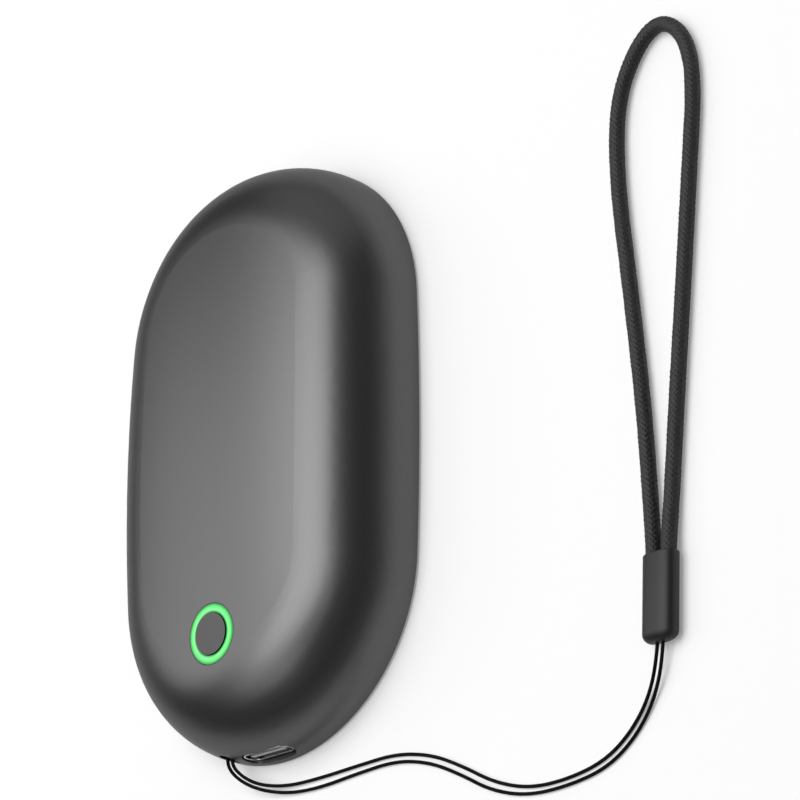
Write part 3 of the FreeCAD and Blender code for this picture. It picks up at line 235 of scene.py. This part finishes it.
# Film heater: amber polyimide with etched foil tracks that run to and fro
heaterTracks = {
    "film": "#b06a1c", "foil": "#7c5a2e", "roughness": 0.22, "bump": 0.3,
    "spacing": 2.4, "relief": 0.05,  # mm
    "edge": (0.45, 0.55),  # where the wave turns from film to foil
}


def makeHeaterFilm(look):
    material, tree, surface = newMaterial("Polyimide film with etched foil tracks")
    place = addNode(tree, "ShaderNodeTexCoord")
    waveScale = math.pi / 10 / (look["spacing"] * mm)  # at scale 1 the wave repeats every pi / 10
    tracks = addNode(
        tree, "ShaderNodeTexWave", {"Scale": waveScale, "Distortion": 0.0},
        {"Vector": place.outputs["Object"]})
    edge = addNode(
        tree, "ShaderNodeMapRange", {"From Min": look["edge"][0], "From Max": look["edge"][1]},
        {"Value": tracks.outputs["Fac"]})
    tint = addNode(
        tree, "ShaderNodeMix", {"data_type": "RGBA", 6: linear(look["film"]), 7: linear(look["foil"])},
        {0: edge.outputs["Result"]})
    bump = addNode(
        tree, "ShaderNodeBump", {"Strength": look["bump"], "Distance": look["relief"] * mm},
        {"Height": edge.outputs["Result"]})
    tree.links.new(tint.outputs[2], surface.inputs["Base Color"])
    tree.links.new(bump.outputs["Normal"], surface.inputs["Normal"])
    surface.inputs["Roughness"].default_value = look["roughness"]
    nodes["heater_film"].material_slots[0].material = material


makeHeaterFilm(heaterTracks)


# Light ring: milky acrylic with a painted glow, emission on the ring itself in place of the lamps behind
# it, palest near the button, with darker outlines where the painted glow fades
paintedGlowRing = {
    "pale": "#86ff94", "core": "#4cf568", "edge": "#17a835", "rim": "#0a4f1a",
    "stops": [
        (0.0, "rim"), (0.14, "edge"), (0.32, "pale"), (0.58, "core"), (0.76, "edge"), (0.92, "rim"),
    ],
    "inner": 3.13, "outer": 4.35,  # mm, its bore and its rim
    "base": "#1c7a34", "roughness": 0.3, "strength": 1.0,
}


def makePaintedGlowRing(look):
    material, tree, surface = newMaterial("Acrylic light guide, lit green")
    low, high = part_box("power_button")
    place = addNode(tree, "ShaderNodeTexCoord")
    middle = [-(low.x + high.x) / 2, -(low.y + high.y) / 2, 0.0]
    centred = addNode(
        tree, "ShaderNodeVectorMath", {"operation": "ADD", 1: middle}, {0: place.outputs["Object"]})
    flat = addNode(
        tree, "ShaderNodeVectorMath", {"operation": "MULTIPLY", 1: (1.0, 1.0, 0.0)},
        {0: centred.outputs[0]})
    radius = addNode(tree, "ShaderNodeVectorMath", {"operation": "LENGTH"}, {0: flat.outputs[0]})
    across = addNode(
        tree, "ShaderNodeMapRange", {"From Min": look["inner"] * mm, "From Max": look["outer"] * mm},
        {"Value": radius.outputs["Value"]})
    glow = addNode(tree, "ShaderNodeValToRGB", {}, {"Fac": across.outputs["Result"]})
    ramp = glow.color_ramp
    while len(ramp.elements) < len(look["stops"]):
        ramp.elements.new(0.5)
    for element, (share, tone) in zip(ramp.elements, look["stops"]):
        element.position = share
        element.color = linear(look[tone])
    # painted glow: the ramp's tones go out as emission, so the ring lights itself
    tree.links.new(glow.outputs["Color"], surface.inputs["Emission Color"])
    surface.inputs["Emission Strength"].default_value = look["strength"]
    surface.inputs["Base Color"].default_value = linear(look["base"])
    surface.inputs["Roughness"].default_value = look["roughness"]
    nodes["light_ring"].material_slots[0].material = material


makePaintedGlowRing(paintedGlowRing)
print("inner finishes and light ring made")


# Cords: both lie within about 1 mm of where part.py has them. The routes' points are in mm.
routeSteps = 24  # points from one route point to the next


def routeCurve(name, route):
    data = bpy.data.curves.new(name, "CURVE")
    data.dimensions = "3D"
    spline = data.splines.new("NURBS")
    spline.points.add(len(route) - 1)
    for point, place in zip(spline.points, route):
        point.co = (*(Vector(place) * mm), 1.0)
    spline.order_u = 3  # after the points, or it stays at straight runs
    spline.use_endpoint_u = True
    spline.resolution_u = routeSteps
    curve = bpy.data.objects.new(name, data)
    collection.objects.link(curve)
    return curve


def routeLine(curve):
    bpy.context.view_layer.update()
    shown = curve.evaluated_get(bpy.context.evaluated_depsgraph_get())
    line = bpy.data.meshes.new_from_object(shown)
    points = [vertex.co.copy() for vertex in line.vertices]
    bpy.data.meshes.remove(line)
    return points


def newTree(name, inputs):
    tree = bpy.data.node_groups.new(name, "GeometryNodeTree")
    tree.interface.new_socket("Geometry", in_out="INPUT", socket_type="NodeSocketGeometry")
    tree.interface.new_socket("Geometry", in_out="OUTPUT", socket_type="NodeSocketGeometry")
    for inputName, kind in inputs:
        tree.interface.new_socket(inputName, in_out="INPUT", socket_type=kind)
    return tree, addNode(tree, "NodeGroupInput"), addNode(tree, "NodeGroupOutput")


def applyTree(source, tree, values, name):
    modifier = source.modifiers.new(tree.name, "NODES")
    modifier.node_group = tree
    items = tree.interface.items_tree
    sockets = {item.name: item.identifier for item in items if item.in_out == "INPUT"}
    for inputName, value in values.items():
        modifier[sockets[inputName]] = value
    bpy.context.view_layer.update()
    shown = source.evaluated_get(bpy.context.evaluated_depsgraph_get())
    mesh = bpy.data.meshes.new_from_object(shown)
    bpy.data.objects.remove(source)
    return addPiece(name, mesh)


# Thin cord: a smooth tube that keeps its length and its turn for the braid's pattern
thinCord = {
    "length": 0.2015, "diameter": 0.0005,  # m
    "radius": 0.25, "step": 0.3, "braid": 0.7, "relief": 0.03,  # mm, the braid from repeat to repeat
    "sides": 12, "repeatsAround": 2, "bump": 0.5,
    "colour": "#030303", "roughness": 0.75, "specular": 0.12,
    "route": [
        (71.7, -40.1, 1.6), (71.4, -45.2, 1.6), (68.9, -50.4, 0.5), (65.3, -54.8, 0.3),
        (60.4, -57.9, 0.3), (53.7, -59.0, 0.3), (46.3, -58.95, 0.3), (39.7, -56.95, 0.3),
        (34.1, -53.6, 0.3), (28.4, -50.75, 0.3), (22.0, -49.2, 0.3), (14.6, -49.5, 0.3),
        (7.0, -50.1, 0.3), (0.4, -49.7, 0.5), (-5.2, -48.0, 1.7), (-8.35, -45.3, 3.15),
        (-8.6, -42.7, 3.4), (-9.05, -40.5, 3.4), (-9.05, -38.4, 3.4), (-6.95, -38.4, 3.4),
        (-6.95, -40.5, 3.4), (-7.4, -42.7, 3.4), (-7.7, -44.9, 3.2), (-4.8, -47.5, 1.7),
        (0.3, -48.65, 0.5), (7.0, -48.7, 0.3), (14.6, -48.4, 0.3), (22.0, -48.2, 0.3),
        (28.8, -49.75, 0.3), (34.6, -52.6, 0.3), (40.2, -55.9, 0.3), (46.6, -58.0, 0.3),
        (53.4, -58.1, 0.3), (59.85, -56.95, 0.3), (64.5, -54.0, 0.3), (67.95, -49.9, 0.5),
        (70.45, -44.9, 1.6), (70.8, -40.1, 1.6),
    ],
}


def cordTree(material, look):
    tree, given, result = newTree("cordTube", [
        ("radius", "NodeSocketFloat"), ("step", "NodeSocketFloat")])
    spaced = addNode(
        tree, "GeometryNodeResampleCurve", {"mode": "LENGTH"},
        {"Curve": given.outputs["Geometry"], "Length": given.outputs["step"]})
    along = addNode(tree, "GeometryNodeSplineParameter")
    measured = addNode(
        tree, "GeometryNodeStoreNamedAttribute",
        {"data_type": "FLOAT", "domain": "POINT", "Name": "along"},
        {"Geometry": spaced.outputs["Curve"], "Value": along.outputs["Length"]})
    section = addNode(
        tree, "GeometryNodeCurvePrimitiveCircle", {"Resolution": look["sides"]},
        {"Radius": given.outputs["radius"]})
    turn = addNode(tree, "GeometryNodeSplineParameter")
    turned = addNode(
        tree, "GeometryNodeStoreNamedAttribute",
        {"data_type": "FLOAT", "domain": "POINT", "Name": "around"},
        {"Geometry": section.outputs["Curve"], "Value": turn.outputs["Factor"]})
    tube = addNode(
        tree, "GeometryNodeCurveToMesh", {"Fill Caps": True},
        {"Curve": measured.outputs["Geometry"], "Profile Curve": turned.outputs["Geometry"]})
    smooth = addNode(tree, "GeometryNodeSetShadeSmooth", {}, {"Geometry": tube.outputs["Mesh"]})
    real = addNode(tree, "GeometryNodeRealizeInstances", {}, {"Geometry": smooth.outputs["Geometry"]})
    dressed = addNode(
        tree, "GeometryNodeSetMaterial", {"Material": material}, {"Geometry": real.outputs["Geometry"]})
    tree.links.new(dressed.outputs["Geometry"], result.inputs["Geometry"])
    return tree


def cordMaterial(look):
    # waxed nylon, fine braid: nearly black with a thin dull line of light
    material, tree, surface = newMaterial("Nylon cord, fine braid, black")
    along = addNode(tree, "ShaderNodeAttribute", {"attribute_name": "along"})
    around = addNode(tree, "ShaderNodeAttribute", {"attribute_name": "around"})
    length = addNode(
        tree, "ShaderNodeMath", {"operation": "MULTIPLY", 1: math.tau / (look["braid"] * mm)},
        {0: along.outputs["Fac"]})
    turn = addNode(
        tree, "ShaderNodeMath", {"operation": "MULTIPLY", 1: look["repeatsAround"] * math.tau},
        {0: around.outputs["Fac"]})
    ahead = addNode(
        tree, "ShaderNodeMath", {"operation": "ADD"}, {0: length.outputs[0], 1: turn.outputs[0]})
    back = addNode(
        tree, "ShaderNodeMath", {"operation": "SUBTRACT"}, {0: length.outputs[0], 1: turn.outputs[0]})
    first = addNode(tree, "ShaderNodeMath", {"operation": "SINE"}, {0: ahead.outputs[0]})
    second = addNode(tree, "ShaderNodeMath", {"operation": "SINE"}, {0: back.outputs[0]})
    weave = addNode(
        tree, "ShaderNodeMath", {"operation": "MULTIPLY"}, {0: first.outputs[0], 1: second.outputs[0]})
    bump = addNode(
        tree, "ShaderNodeBump", {"Strength": look["bump"], "Distance": look["relief"] * mm},
        {"Height": weave.outputs[0]})
    tree.links.new(bump.outputs["Normal"], surface.inputs["Normal"])
    surface.inputs["Base Color"].default_value = linear(look["colour"])
    surface.inputs["Roughness"].default_value = look["roughness"]
    surface.inputs["Specular IOR Level"].default_value = look["specular"]
    return material


def makeThinCord(look):
    curve = routeCurve("thinCordRoute", look["route"])
    path = routeLine(curve)
    sizes = {name: look[name] * mm for name in ("radius", "step")}
    cord = applyTree(curve, cordTree(cordMaterial(look), look), sizes, "thinCord")
    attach(cord, "housing")
    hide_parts("strap_cord")
    return cord, path


cordPiece, cordPath = makeThinCord(thinCord)
print("thin cord:", len(cordPiece.data.polygons), "faces")


# Wrist loop: two sets of strands wound in opposite turns over a core, each over one and under the next
wristLoop = {
    "length": 0.173, "diameter": 0.0023,  # m
    "radius": 1.15, "step": 0.35, "pitch": 6.4, "strandRadius": 0.4, "lift": 0.03, "core": 0.72,  # mm
    "strands": 16, "strandSides": 6, "coreSides": 10,
    "dark": "#070707", "light": "#181818", "roughness": 0.62, "sheen": 0.08,
    "fibre": 0.12, "relief": 0.03,  # mm
    "fibreDetail": 2.0, "bump": 0.3,
    "route": [
        (70.3, -37.4, 1.6), (70.3, -31.0, 1.6), (69.6, -24.0, 1.15), (68.8, -10.0, 1.15),
        (66.9, 8.0, 1.15), (65.0, 24.0, 1.15), (65.25, 36.0, 1.15), (68.95, 43.25, 1.15),
        (73.4, 46.05, 1.15), (77.6, 42.6, 1.15), (79.2, 35.5, 1.15), (77.9, 22.5, 1.15),
        (76.3, 6.5, 1.15), (74.55, -10.0, 1.15), (73.2, -24.0, 1.15), (72.7, -31.0, 1.6),
        (72.7, -37.4, 1.6),
    ],
}


def braidTree(material, look):
    tree, given, result = newTree("ropeBraid", [
        ("strands", "NodeSocketInt"), ("radius", "NodeSocketFloat"), ("strandRadius", "NodeSocketFloat"),
        ("pitch", "NodeSocketFloat"), ("lift", "NodeSocketFloat"), ("core", "NodeSocketFloat"),
        ("step", "NodeSocketFloat")])
    spaced = addNode(
        tree, "GeometryNodeResampleCurve", {"mode": "LENGTH"},
        {"Curve": given.outputs["Geometry"], "Length": given.outputs["step"]})
    copies = addNode(
        tree, "GeometryNodeDuplicateElements", {"domain": "SPLINE"},
        {"Geometry": spaced.outputs["Curve"], "Amount": given.outputs["strands"]})
    numbered = addNode(
        tree, "GeometryNodeStoreNamedAttribute",
        {"data_type": "FLOAT", "domain": "CURVE", "Name": "strand"},
        {"Geometry": copies.outputs["Geometry"], "Value": copies.outputs["Duplicate Index"]})
    strand = addNode(tree, "GeometryNodeInputNamedAttribute", {"data_type": "FLOAT", "Name": "strand"})
    half = addNode(
        tree, "ShaderNodeMath", {"operation": "DIVIDE", 1: 2.0}, {0: given.outputs["strands"]})
    share = addNode(
        tree, "ShaderNodeMath", {"operation": "DIVIDE"}, {0: strand.outputs[0], 1: half.outputs[0]})
    second = addNode(tree, "ShaderNodeMath", {"operation": "FLOOR"}, {0: share.outputs[0]})
    way = addNode(
        tree, "ShaderNodeMath", {"operation": "MULTIPLY_ADD", 1: -2.0, 2: 1.0}, {0: second.outputs[0]})
    phase = addNode(tree, "ShaderNodeMath", {"operation": "MULTIPLY", 1: math.tau}, {0: share.outputs[0]})
    along = addNode(tree, "GeometryNodeSplineParameter")
    turns = addNode(
        tree, "ShaderNodeMath", {"operation": "DIVIDE"},
        {0: along.outputs["Length"], 1: given.outputs["pitch"]})
    wound = addNode(tree, "ShaderNodeMath", {"operation": "MULTIPLY", 1: math.tau}, {0: turns.outputs[0]})
    angle = addNode(
        tree, "ShaderNodeMath", {"operation": "MULTIPLY_ADD"},
        {0: wound.outputs[0], 1: way.outputs[0], 2: phase.outputs[0]})
    crossing = addNode(
        tree, "ShaderNodeMath", {"operation": "MULTIPLY"}, {0: wound.outputs[0], 1: half.outputs[0]})
    lift = addNode(tree, "ShaderNodeMath", {"operation": "COSINE"}, {0: crossing.outputs[0]})
    over = addNode(
        tree, "ShaderNodeMath", {"operation": "MULTIPLY"}, {0: lift.outputs[0], 1: way.outputs[0]})
    room = addNode(
        tree, "ShaderNodeMath", {"operation": "SUBTRACT"},
        {0: given.outputs["radius"], 1: given.outputs["strandRadius"]})
    tight = addNode(
        tree, "ShaderNodeMath", {"operation": "SUBTRACT"},
        {0: room.outputs[0], 1: given.outputs["lift"]})
    ride = addNode(
        tree, "ShaderNodeMath", {"operation": "MULTIPLY_ADD"},
        {0: over.outputs[0], 1: given.outputs["lift"], 2: tight.outputs[0]})
    tangent = addNode(tree, "GeometryNodeInputTangent")
    normal = addNode(tree, "GeometryNodeInputNormal")
    side = addNode(
        tree, "ShaderNodeVectorMath", {"operation": "CROSS_PRODUCT"},
        {0: tangent.outputs[0], 1: normal.outputs[0]})
    cosine = addNode(tree, "ShaderNodeMath", {"operation": "COSINE"}, {0: angle.outputs[0]})
    sine = addNode(tree, "ShaderNodeMath", {"operation": "SINE"}, {0: angle.outputs[0]})
    onNormal = addNode(
        tree, "ShaderNodeVectorMath", {"operation": "SCALE"},
        {0: normal.outputs[0], "Scale": cosine.outputs[0]})
    onSide = addNode(
        tree, "ShaderNodeVectorMath", {"operation": "SCALE"},
        {0: side.outputs[0], "Scale": sine.outputs[0]})
    outward = addNode(
        tree, "ShaderNodeVectorMath", {"operation": "ADD"},
        {0: onNormal.outputs[0], 1: onSide.outputs[0]})
    offset = addNode(
        tree, "ShaderNodeVectorMath", {"operation": "SCALE"},
        {0: outward.outputs[0], "Scale": ride.outputs[0]})
    moved = addNode(
        tree, "GeometryNodeSetPosition", {},
        {"Geometry": numbered.outputs["Geometry"], "Offset": offset.outputs[0]})
    section = addNode(
        tree, "GeometryNodeCurvePrimitiveCircle", {"Resolution": look["strandSides"]},
        {"Radius": given.outputs["strandRadius"]})
    strands = addNode(
        tree, "GeometryNodeCurveToMesh", {"Fill Caps": True},
        {"Curve": moved.outputs["Geometry"], "Profile Curve": section.outputs["Curve"]})
    coreSection = addNode(
        tree, "GeometryNodeCurvePrimitiveCircle", {"Resolution": look["coreSides"]},
        {"Radius": given.outputs["core"]})
    core = addNode(
        tree, "GeometryNodeCurveToMesh", {"Fill Caps": True},
        {"Curve": spaced.outputs["Curve"], "Profile Curve": coreSection.outputs["Curve"]})
    together = addNode(tree, "GeometryNodeJoinGeometry")
    tree.links.new(core.outputs["Mesh"], together.inputs[0])
    tree.links.new(strands.outputs["Mesh"], together.inputs[0])
    smooth = addNode(tree, "GeometryNodeSetShadeSmooth", {}, {"Geometry": together.outputs["Geometry"]})
    real = addNode(tree, "GeometryNodeRealizeInstances", {}, {"Geometry": smooth.outputs["Geometry"]})
    dressed = addNode(
        tree, "GeometryNodeSetMaterial", {"Material": material}, {"Geometry": real.outputs["Geometry"]})
    tree.links.new(dressed.outputs["Geometry"], result.inputs["Geometry"])
    return tree


def ropeMaterial(look):
    # braided nylon: matt, with threads that take the light one by one
    material, tree, surface = newMaterial("Nylon rope, braided, dark grey")
    place = addNode(tree, "ShaderNodeTexCoord")
    fibre = addNode(
        tree, "ShaderNodeTexNoise", {"Scale": 1 / (look["fibre"] * mm), "Detail": look["fibreDetail"]},
        {"Vector": place.outputs["Object"]})
    tint = addNode(
        tree, "ShaderNodeMix", {"data_type": "RGBA", 6: linear(look["dark"]), 7: linear(look["light"])},
        {0: fibre.outputs["Fac"]})
    bump = addNode(
        tree, "ShaderNodeBump", {"Strength": look["bump"], "Distance": look["relief"] * mm},
        {"Height": fibre.outputs["Fac"]})
    tree.links.new(tint.outputs[2], surface.inputs["Base Color"])
    tree.links.new(bump.outputs["Normal"], surface.inputs["Normal"])
    surface.inputs["Roughness"].default_value = look["roughness"]
    surface.inputs["Sheen Weight"].default_value = look["sheen"]
    return material


def makeWristLoop(look):
    curve = routeCurve("wristLoopRoute", look["route"])
    path = routeLine(curve)
    lengths = ("radius", "strandRadius", "pitch", "lift", "core", "step")
    sizes = {name: look[name] * mm for name in lengths}
    rope = applyTree(
        curve, braidTree(ropeMaterial(look), look), {**sizes, "strands": look["strands"]}, "wristLoop")
    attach(rope, "housing")
    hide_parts("strap_loop")
    return rope, path


ropePiece, ropePath = makeWristLoop(wristLoop)
print("wrist loop:", len(ropePiece.data.polygons), "faces")


# Sleeve: a flattened block with a rounded foot and a lipped mouth that the rope goes into
strapSleeve = {
    "foot": 1.3, "shoulder": 0.25, "lip": 0.33, "mouthDepth": 0.8, "short": 0.55,  # mm
    "lean": 2.4,  # degrees, as it lies in the photograph
    "squareness": 2.5,  # 2 is an ellipse, and more is squarer
    "crease": 40,  # degrees, edges sharper than this stay crisp
    "sectionSteps": 56, "roundSteps": 8,
}


def sleeveSection(half, radius, middle, look):
    power = 2 / look["squareness"]
    points = []
    for i in range(look["sectionSteps"]):
        angle = math.tau * i / look["sectionSteps"]
        across, up = math.cos(angle), math.sin(angle)
        points.append((middle.x + half * math.copysign(abs(across) ** power, across),
                       middle.z + radius * math.copysign(abs(up) ** power, up)))
    return points


def makeSleeve(look):
    low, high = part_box("strap_sleeve")
    middle = (low + high) / 2
    half, radius = (high.x - low.x) / 2, (high.z - low.z) / 2
    foot, shoulder, lip = look["foot"] * mm, look["shoulder"] * mm, look["lip"] * mm
    end, lean = low.y + look["short"] * mm, math.tan(math.radians(look["lean"]))
    quarter = [math.pi / 2 * i / look["roundSteps"] for i in range(look["roundSteps"] + 1)]
    # each ring's inset and its place along the sleeve, from the foot to the bottom of the mouth
    stations = [(foot * (1 - math.sin(a)), end + foot * (1 - math.cos(a))) for a in quarter]
    stations += [(shoulder * (1 - math.cos(a)), high.y - shoulder * (1 - math.sin(a))) for a in quarter]
    stations += [(lip, high.y), (lip, high.y - look["mouthDepth"] * mm)]
    shape = bmesh.new()
    rings = [
        [shape.verts.new((x - lean * (high.y - y), y, z))
         for x, z in sleeveSection(half - inset, radius - inset, middle, look)]
        for inset, y in stations
    ]
    for before, after in zip(rings, rings[1:]):
        for i in range(len(before)):
            j = (i + 1) % len(before)
            shape.faces.new((before[i], before[j], after[j], after[i]))
    shape.faces.new(rings[0])
    shape.faces.new(rings[-1])
    bmesh.ops.recalc_face_normals(shape, faces=shape.faces)
    for face in shape.faces:
        face.smooth = True
    crease = math.radians(look["crease"])
    for edge in shape.edges:
        edge.smooth = edge.calc_face_angle() < crease
    mesh = bpy.data.meshes.new("strapSleeve")
    shape.to_mesh(mesh)
    shape.free()
    sleeve = addPiece("strapSleeve", mesh, sleeveRubber)
    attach(sleeve, "housing")
    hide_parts("strap_sleeve")
    return sleeve


sleevePiece = makeSleeve(strapSleeve)
print("sleeve:", len(sleevePiece.data.polygons), "faces")


# Stage: a pale floor that takes a share of plain white, four softboxes and a dim room. Sizes in m.
stage = {
    "floorSize": 30.0, "floorColour": "#e6e6e6", "floorRoughness": 0.9, "whiteShare": 0.25,
    "room": "#545454",
}
softboxes = {
    "topSoftbox": {"from": (-0.04, 0.27, 1.47), "size": (1.40, 1.40), "power": 25.0},
    "leftSoftbox": {"from": (-1.35, 0.26, 1.06), "size": (1.05, 1.05), "power": 7.2},
    "frontSoftbox": {"from": (-0.28, -0.72, 1.30), "size": (1.10, 0.80), "power": 4.4},
    "backSoftbox": {"from": (0.10, 1.40, 0.55), "size": (1.60, 0.80), "power": 2.0},
}


def makeFloor(look):
    material, tree, surface = newMaterial("Paper sweep, white")
    surface.inputs["Base Color"].default_value = linear(look["floorColour"])
    surface.inputs["Roughness"].default_value = look["floorRoughness"]
    rays = addNode(tree, "ShaderNodeLightPath")
    seen = addNode(
        tree, "ShaderNodeMath", {"operation": "MAXIMUM"},
        {0: rays.outputs["Is Camera Ray"], 1: rays.outputs["Is Glossy Ray"]})
    through = addNode(
        tree, "ShaderNodeMath", {"operation": "MAXIMUM"},
        {0: seen.outputs[0], 1: rays.outputs["Is Transmission Ray"]})
    share = addNode(
        tree, "ShaderNodeMath", {"operation": "MULTIPLY", 1: look["whiteShare"]}, {0: through.outputs[0]})
    white = addNode(tree, "ShaderNodeEmission", {"Color": (1.0, 1.0, 1.0, 1.0), "Strength": 1.0})
    mixed = addNode(
        tree, "ShaderNodeMixShader", {},
        {0: share.outputs[0], 1: surface.outputs["BSDF"], 2: white.outputs["Emission"]})
    tree.links.new(mixed.outputs["Shader"], tree.nodes["Material Output"].inputs["Surface"])
    half = look["floorSize"] / 2
    mesh = bpy.data.meshes.new("floor")
    corners = [(-half, -half, 0), (half, -half, 0), (half, half, 0), (-half, half, 0)]
    mesh.from_pydata(corners, [], [(0, 1, 2, 3)])
    addPiece("floor", mesh, material)


def makeSoftbox(name, box):
    data = bpy.data.lights.new(name, "AREA")
    data.shape = "RECTANGLE"
    data.size, data.size_y = box["size"]
    data.energy = box["power"]
    lamp = bpy.data.objects.new(name, data)
    collection.objects.link(lamp)
    lamp.location = box["from"]
    lamp.rotation_euler = (-Vector(box["from"])).to_track_quat("-Z", "Y").to_euler()


makeFloor(stage)
for lampName, box in softboxes.items():
    makeSoftbox(lampName, box)
room = bpy.data.worlds.new("studio")
room.use_nodes = True
room.node_tree.nodes["Background"].inputs["Color"].default_value = linear(stage["room"])
bpy.context.scene.world = room
bpy.context.scene.view_settings.view_transform = "Standard"
print("stage:", len(softboxes), "softboxes")
